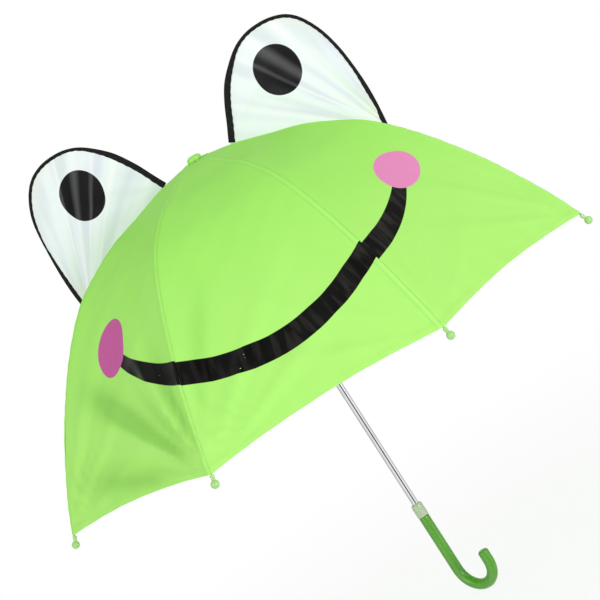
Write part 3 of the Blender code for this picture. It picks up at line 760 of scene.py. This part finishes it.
def eye_sway(r, depth, seed):
    """How far the eye's cloth stands out of its plane, in mm: folds that fan from its feet, and a belly."""
    sway = 0.0
    for foot, strength, count in (((231.0, 92.0), 1.0, 12.0), ((45.0, 8.0), 0.55, 8.0)):
        across, up = abs(foot[0] - r), foot[1] - depth
        far = np.hypot(across, up)
        turn = np.arctan2(up, np.maximum(across, 1e-3))
        edge = smooth_step(far, 6, 60) * (1 - 0.6 * smooth_step(far, 110, 210))
        waves = np.sin(turn * count + seed) + 0.55 * np.sin(turn * count * 2.1 + 1.7 * seed + far * 0.01)
        sway = sway + strength * waves * edge
    belly = 3.0 * np.sin(np.pi * np.clip((r - 48) / 182, 0, 1))
    belly = belly * np.sin(np.pi * np.clip((88 - depth) / 180, 0, 1))
    slow = 0.8 * np.sin(r * 0.045 + seed) * np.sin(depth * 0.05 + 1.3 * seed)
    return 1.15 * sway + belly + slow


def eye_grid(rows=44, cols=60):
    """Radius and depth of the eye's cloth, from the foot (row 0) up to the edge tape."""
    top = smooth_path(EYE_TOP, cols)
    arcs = np.linspace(arc_at(EYE_FOOT[0]), arc_at(EYE_FOOT[1]), cols)
    foot = np.stack(seam(arcs), axis=-1) + np.array([0, -0.2])
    v = (np.linspace(0, 1, rows) ** 0.9)[:, None, None]
    return foot[None] * (1 - v) + top[None] * v


def in_plane(points, rib):
    """Turns (radius, sway, depth) in mm into places in the umbrella's frame, depth counted from the apex."""
    turn = FIRST_RIB + rib * 2 * HALF
    ct, st = math.cos(turn), math.sin(turn)
    r, sway, depth = points[..., 0], points[..., 1], points[..., 2]
    return np.stack([r * ct - sway * st, r * st + sway * ct, -depth], axis=-1)


def bend_with_rib(obj):
    """Bakes the object's placement into its mesh."""
    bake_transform(obj)


def tape_half_width(share):
    """Half the width of the edge tape: wide up the inner side, narrow over the top, wide low down outside."""
    inner = 1 - smooth_step(share, 0.16, 0.34)
    outer = smooth_step(share, 0.78, 0.88)
    return 2.2 + 1.9 * inner + 0.9 * outer


def make_tape(name, rib, seed):
    """The black tape folded over the eye's edge, round a wire: a flattened tube along the outline."""
    count = 150
    path = smooth_path(EYE_TOP, count)
    share = np.linspace(0, 1, count)
    run = np.gradient(path, axis=0)
    run /= np.linalg.norm(run, axis=1, keepdims=True)
    inward = np.stack([-run[:, 1], run[:, 0]], axis=-1)
    ring = 14
    turn = np.linspace(0, 2 * math.pi, ring, endpoint=False)
    half = tape_half_width(share) + 0.12 * np.sin(share * 260 + seed)
    thick = 0.95 + 0.08 * np.sin(share * 190 + 2 * seed)
    sway = eye_sway(path[:, 0], path[:, 1], seed)
    wide = np.sign(np.cos(turn)) * np.abs(np.cos(turn)) ** 0.75
    deep = np.sign(np.sin(turn)) * np.abs(np.sin(turn)) ** 0.75
    bead = 1 + 0.35 * np.clip(-np.cos(turn), 0, 1)
    across = half[:, None] * wide[None] + (half - 0.8)[:, None]
    place = path[:, None, :] + inward[:, None, :] * across[..., None]
    out = sway[:, None] + thick[:, None] * deep[None] * bead[None]
    points = np.stack([place[..., 0], out, place[..., 1]], axis=-1)
    verts = in_plane(points, rib).reshape(-1, 3) * MM + np.array([0, 0, APEX_Z])
    index = np.arange(count * ring).reshape(count, ring)
    after = np.roll(index, -1, axis=1)
    faces = np.stack([index[:-1], index[1:], after[1:], after[:-1]], axis=-1).reshape(-1, 4).tolist()
    faces += [index[0].tolist(), index[-1][::-1].tolist()]
    mesh = bpy.data.meshes.new(name)
    mesh.from_pydata(verts.tolist(), [], faces)
    length = np.concatenate([[0], np.cumsum(np.linalg.norm(np.diff(path, axis=0), axis=1))])
    tape = np.stack([half[:, None] * wide[None], np.repeat(length[:, None], ring, 1),
                     np.zeros((count, ring))], -1)
    layer = mesh.attributes.new("cloth", "FLOAT_VECTOR", "POINT")
    layer.data.foreach_set("vector", (tape * MM).astype(np.float32).ravel())
    mesh.materials.append(TAPE)
    mesh.shade_smooth()
    fix_facing(mesh)
    obj = bpy.data.objects.new(name, mesh)
    bpy.context.scene.collection.objects.link(obj)
    return obj


def fix_facing(mesh):
    """Makes every face of a closed mesh point outwards."""
    work = bmesh.new()
    work.from_mesh(mesh)
    bmesh.ops.recalc_face_normals(work, faces=work.faces)
    work.to_mesh(mesh)
    work.free()


def make_eye(side, rib):
    seed = 0.4 + rib
    flat = eye_grid()
    sway = eye_sway(flat[..., 0], flat[..., 1], seed)
    foot_hold = smooth_step(np.arange(len(flat)), 0, 10)[:, None]
    sway = sway * foot_hold
    outer = in_plane(np.stack([flat[..., 0], sway, flat[..., 1]], axis=-1), rib)
    along = np.gradient(outer, axis=1)
    upward = np.gradient(outer, axis=0)
    normals = np.cross(along, upward)
    normals /= np.linalg.norm(normals, axis=-1, keepdims=True)
    coords = np.stack([flat[..., 0], -flat[..., 1], np.zeros_like(sway)], axis=-1) * MM
    cloth = eye_material(f"eye_cloth_{side}", PUPIL, PUPIL_R, EYE_HIGHLIGHT_LINES[side])
    obj = grid_shell(f"eye_cloth_{side}", outer, normals, CLOTH_T, {"cloth": coords}, [cloth, cloth])
    tape = make_tape(f"eye_edge_{side}", rib, seed)
    bend_with_rib(obj)
    bend_with_rib(tape)
    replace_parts(obj, f"eye_{side}")


def make_eyes():
    for side, rib in EYES.items():
        make_eye(side, rib)


# ---- hard parts ----------------------------------------------------------------------------------
def grid_solid(name, points, material, body, holed=False):
    """A closed smooth body from rings of points in metres, riding on a CAD body. With holed the last ring
    joins the first, as in a washer; otherwise both ends are capped."""
    count, ring = points.shape[:2]
    index = np.arange(count * ring).reshape(count, ring)
    rows = np.vstack([index, index[:1]]) if holed else index
    after = np.roll(rows, -1, axis=1)
    faces = np.stack([rows[:-1], rows[1:], after[1:], after[:-1]], axis=-1).reshape(-1, 4).tolist()
    if not holed:
        faces += [index[0].tolist(), index[-1][::-1].tolist()]
    mesh = bpy.data.meshes.new(name)
    mesh.from_pydata(points.reshape(-1, 3).tolist(), [], faces)
    fix_facing(mesh)
    mesh.shade_smooth()
    mesh.set_sharp_from_angle(angle=math.radians(50))
    mesh.materials.append(material)
    obj = bpy.data.objects.new(name, mesh)
    bpy.context.scene.collection.objects.link(obj)
    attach(obj, body)
    return obj


def lathe(name, profile, material, body, place=None, sides=48):
    """Turns a (radius, height) profile in mm round Z, then sets it in its place."""
    turn = np.linspace(0, 2 * math.pi, sides, endpoint=False)
    r, z = (np.array(column, float)[:, None] * MM for column in zip(*profile))
    points = np.stack([r * np.cos(turn), r * np.sin(turn), z + 0 * turn], axis=-1)
    if place is not None:
        matrix = np.array(place)
        points = points @ matrix[:3, :3].T + matrix[:3, 3]
    return grid_solid(name, points, material, body)


def rounded(points, steps=5, radius=0.6):
    """A profile with each inner corner rounded."""
    points = [np.array(p, float) for p in points]
    out = [points[0]]
    for before, corner, after in zip(points, points[1:], points[2:]):
        a, b = before - corner, after - corner
        cut = min(radius, 0.45 * np.linalg.norm(a), 0.45 * np.linalg.norm(b))
        start, end = corner + a / np.linalg.norm(a) * cut, corner + b / np.linalg.norm(b) * cut
        for t in np.linspace(0, 1, steps):
            out.append((1 - t) ** 2 * start + 2 * t * (1 - t) * corner + t * t * end)
    out.append(points[-1])
    return [tuple(p) for p in out]


def make_tips():
    """Moulded beads on the rib ends: a ball with a parting line, a neck and a lip against the hem."""
    ball = []
    for k in range(25):
        t = -math.pi / 2 + 0.42 + (math.pi - 0.42) * k / 24
        swell = 0.07 * math.exp(-(t / 0.07) ** 2)
        ball.append(((4.5 + swell) * math.cos(t), 10 + 4.5 * math.sin(t)))
    ball[-1] = (0.01, 14.5)
    neck = [(1.45, 0.35), (2.4, 0.35), (2.5, 1.1), (2.2, 1.9), (2.1, 4.8)]
    profile = rounded([*neck, ball[0]], 4, 0.35) + ball[1:]
    low, high = seam_point(LENGTH - 6), seam_point(LENGTH)
    run = (high - low).normalized()
    end = seam_point(LENGTH, RIB_DROP)
    tilt = Matrix.Rotation(math.atan2(run.x, run.z), 4, "Y")
    for rib in range(RIBS):
        place = rib_turn(rib).to_4x4() @ Matrix.Translation(end) @ tilt
        bead = lathe(f"bead_{rib + 1}", profile, TIP_GREEN, f"rib_end_{rib + 1}", place, 32)
        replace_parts(bead, f"rib_tip_{rib + 1}")


def make_handle():
    """The hook handle: a bent round bar with two faint mould lines and an end with a rounded rim."""
    low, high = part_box("handle")
    radius = 6.4 * MM
    hook_r = 26.5 * MM
    tail = 13.0 * MM
    bend_z = low.z + radius + hook_r
    out = np.array([1.0, -1.0, 0.0]) / math.sqrt(2)
    rise = np.array([0.0, 0.0, 1.0])
    path = [rise * z for z in np.linspace(high.z, bend_z, 24)]
    for t in np.linspace(0, math.pi, 56)[1:]:
        path.append(out * hook_r * (1 - math.cos(t)) + rise * (bend_z - hook_r * math.sin(t)))
    shares = [1.0] * len(path)
    foot = path[-1]
    rim = 3.0 * MM
    path.append(foot + rise * (tail - rim))
    shares.append(1.0)
    for t in np.linspace(0, math.pi / 2, 7)[1:]:
        path.append(foot + rise * (tail - rim + rim * math.sin(t)))
        shares.append(1 - rim / radius * (1 - math.cos(t)))
    for share, dip in ((0.6, 0.05), (0.3, 0.12), (0.02, 0.15)):
        path.append(foot + rise * (tail - dip * MM))
        shares.append(share)
    lip = 0.5 * MM
    path = [path[0] - rise * 0.02 * MM, path[0] - rise * 0.12 * MM, path[0] - rise * lip] + path[1:]
    shares = [0.62, 0.93, 1.0] + shares[1:]
    path, shares = np.array(path), np.array(shares)
    run = np.gradient(path, axis=0)
    run[:3] = -rise
    run[-10:] = rise
    run /= np.linalg.norm(run, axis=1, keepdims=True)
    across = np.cross(out, rise)
    side = np.cross(across, run)
    turn = np.linspace(0, 2 * math.pi, 48, endpoint=False)
    mould = 1 + 0.022 * (np.exp(-(np.sin(turn) / 0.05) ** 2))
    size = shares[:, None] * radius * mould[None]
    points = (path[:, None] + side[:, None] * (np.cos(turn)[None, :, None] * size[..., None])
              + across[None, None] * (np.sin(turn)[None, :, None] * size[..., None]))
    handle = grid_solid("handle_bar", points, HANDLE_GREEN, "frame")
    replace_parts(handle, "handle")


def make_collar_and_cap():
    low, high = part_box("handle_collar")
    z0, z1 = low.z / MM, high.z / MM
    collar = rounded([(4.3, z0), (6.9, z0), (7.0, z0 + 1.0), (6.95, z1 - 4.2), (6.6, z1 - 1.6),
                      (5.6, z1 - 0.4),
                      (4.3, z1)], 5, 0.9)
    piece = lathe("collar", collar + [(4.3, z0)], COLLAR, "frame")
    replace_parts(piece, "handle_collar")
    apex = APEX_Z / MM
    cap = rounded([(0.01, apex - 12), (2.9, apex - 12), (3.0, apex - 0.1), (8.8, apex - 1.2),
                   (9.15, apex + 0.2), (8.6, apex + 3.4), (7.0, apex + 4.9), (4.5, apex + 5.75),
                   (2.6, apex + 6), (0.01, apex + 6)], 5, 0.9)
    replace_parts(lathe("cap", cap, CAP_GREEN, "frame"), "top_cap")


def make_rosette():
    """The doubled round of cloth that is gathered under the cap."""
    apex = APEX_Z / MM
    outer = [(r, apex - float(seam(r)[1]) + 0.55 - 0.02 * r) for r in (3.1, 5, 7, 9, 11, 13, 15, 16.5)]
    profile = [(r, z - 0.4) for r, z in outer] + [(16.9, outer[-1][1] - 0.3)] + outer[::-1]
    turn = np.linspace(0, 2 * math.pi, 96, endpoint=False)
    points = np.zeros((len(profile), len(turn), 3))
    for row, (r, z) in enumerate(profile):
        wave_height = 0.35 * np.sin(turn * RIBS * 2 + 0.5 * r) * smooth_step(r, 4, 12)
        reach = r + 0.35 * np.sin(turn * 5 + 1.0) * smooth_step(r, 10, 16.5)
        points[row] = np.stack([reach * np.cos(turn), reach * np.sin(turn), z + wave_height], axis=-1) * MM
    rosette = grid_solid("cap_rosette", points, ROSETTE, "frame", holed=True)


def dress_cad():
    """Procedural materials on the CAD parts that stay."""
    dress = {"shaft_tube": CHROME, "catch_spring": SPRING, "crown_notch": COLLAR, "crown_ring": STEEL,
             "runner": RUNNER}
    for n in range(1, RIBS + 1):
        dress[f"rib_inner_{n}"] = STEEL
        dress[f"rib_outer_{n}"] = STEEL
        dress[f"stretcher_{n}"] = STEEL
    for name, material in dress.items():
        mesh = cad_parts[name].data
        mesh.materials.clear()
        mesh.materials.append(material)


# ---- floor, light and camera ---------------------------------------------------------------------
def make_world():
    """A white studio: brighter in front and low down, with three dark screens that plated parts mirror."""
    world = bpy.data.worlds.new("studio")
    world.use_nodes = True
    tree = world.node_tree

    def math_node(operation, a, b=0.0, c=0.0):
        node = tree.nodes.new("ShaderNodeMath")
        node.operation = operation
        for socket, value in zip(node.inputs, (a, b, c)):
            if hasattr(value, "is_output"):
                tree.links.new(value, socket)
            else:
                socket.default_value = value
        return node.outputs[0]

    background = tree.nodes["Background"]
    direction = tree.nodes.new("ShaderNodeSeparateXYZ")
    tree.links.new(tree.nodes.new("ShaderNodeTexCoord").outputs["Generated"], direction.inputs[0])
    x, y, z = direction.outputs
    strength = math_node("MULTIPLY_ADD", x, 0.08, 0.92)
    strength = math_node("MULTIPLY_ADD", y, -0.16, strength)
    strength = math_node("MULTIPLY_ADD", z, -0.08, strength)
    azimuth = math_node("ARCTAN2", y, x)
    for middle, width, dark in ((-1.30, 0.30, 1.1), (0.35, 0.25, 0.9), (2.75, 0.35, 0.5)):
        off = math_node("DIVIDE", math_node("SUBTRACT", azimuth, middle), width)
        square = math_node("MULTIPLY", off, off)
        screen = math_node("MULTIPLY", math_node("EXPONENT", math_node("MULTIPLY", square,
                                                                       -1.0)), -dark)
        strength = math_node("ADD", strength, screen)
    strength = math_node("MAXIMUM", strength, 0.02)
    path = tree.nodes.new("ShaderNodeLightPath")
    seen = path.outputs["Is Camera Ray"]
    rest = math_node("MULTIPLY", strength, math_node("SUBTRACT", 1.0, seen))
    tree.links.new(math_node("ADD", rest, seen), background.inputs["Strength"])
    background.inputs["Color"].default_value = (1.0, 1.0, 1.0, 1.0)
    bpy.context.scene.world = world
    bpy.context.scene.view_settings.view_transform = "Standard"


def make_light(name, place, target, power, size, shade=(1.0, 1.0, 1.0)):
    data = bpy.data.lights.new(name, "AREA")
    data.energy = power
    data.size = size
    data.color = shade
    obj = bpy.data.objects.new(name, data)
    obj.location = place
    obj.rotation_euler = (Vector(target) - Vector(place)).to_track_quat("-Z", "Y").to_euler()
    bpy.context.scene.collection.objects.link(obj)


def make_floor():
    bpy.ops.mesh.primitive_circle_add(vertices=96, radius=1.6, fill_type="NGON",
                                      location=(0, 0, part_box("handle")[0].z - 0.0005))
    floor = bpy.context.object
    floor.name = "floor"
    floor.visible_glossy = False
    s = Shader("floor_pale")
    place = s.place()
    dist = s.nodes.new("ShaderNodeVectorMath")
    dist.operation = "LENGTH"
    s.link(place, dist.inputs[0])
    s.put("Base Color", (0.93, 0.93, 0.93, 1.0))
    s.put("Roughness", 0.8)
    s.put("Alpha", s.ramp(dist.outputs["Value"], 0.25, 1.2, 0.12, 0.0))
    floor.data.materials.append(s.material)


def make_camera():
    data = bpy.data.cameras.new("camera")
    data.lens = LENS
    data.sensor_width = 36.0
    camera = bpy.data.objects.new("camera", data)
    camera.location = CAMERA_PLACE
    camera.rotation_euler = [math.radians(a) for a in CAMERA_TURN]
    bpy.context.scene.collection.objects.link(camera)
    bpy.context.scene.camera = camera


make_camera()
make_world()
make_light("key", (1.7, -2.3, 0.5), (0, 0, 0.35), 30, 1.2)
make_light("fill", (-2.2, -1.9, 0.9), (0, 0, 0.4), 13, 1.6)
make_floor()
dress_cad()
make_tips()
make_rosette()
make_handle()
make_collar_and_cap()
make_canopy()
make_eyes()
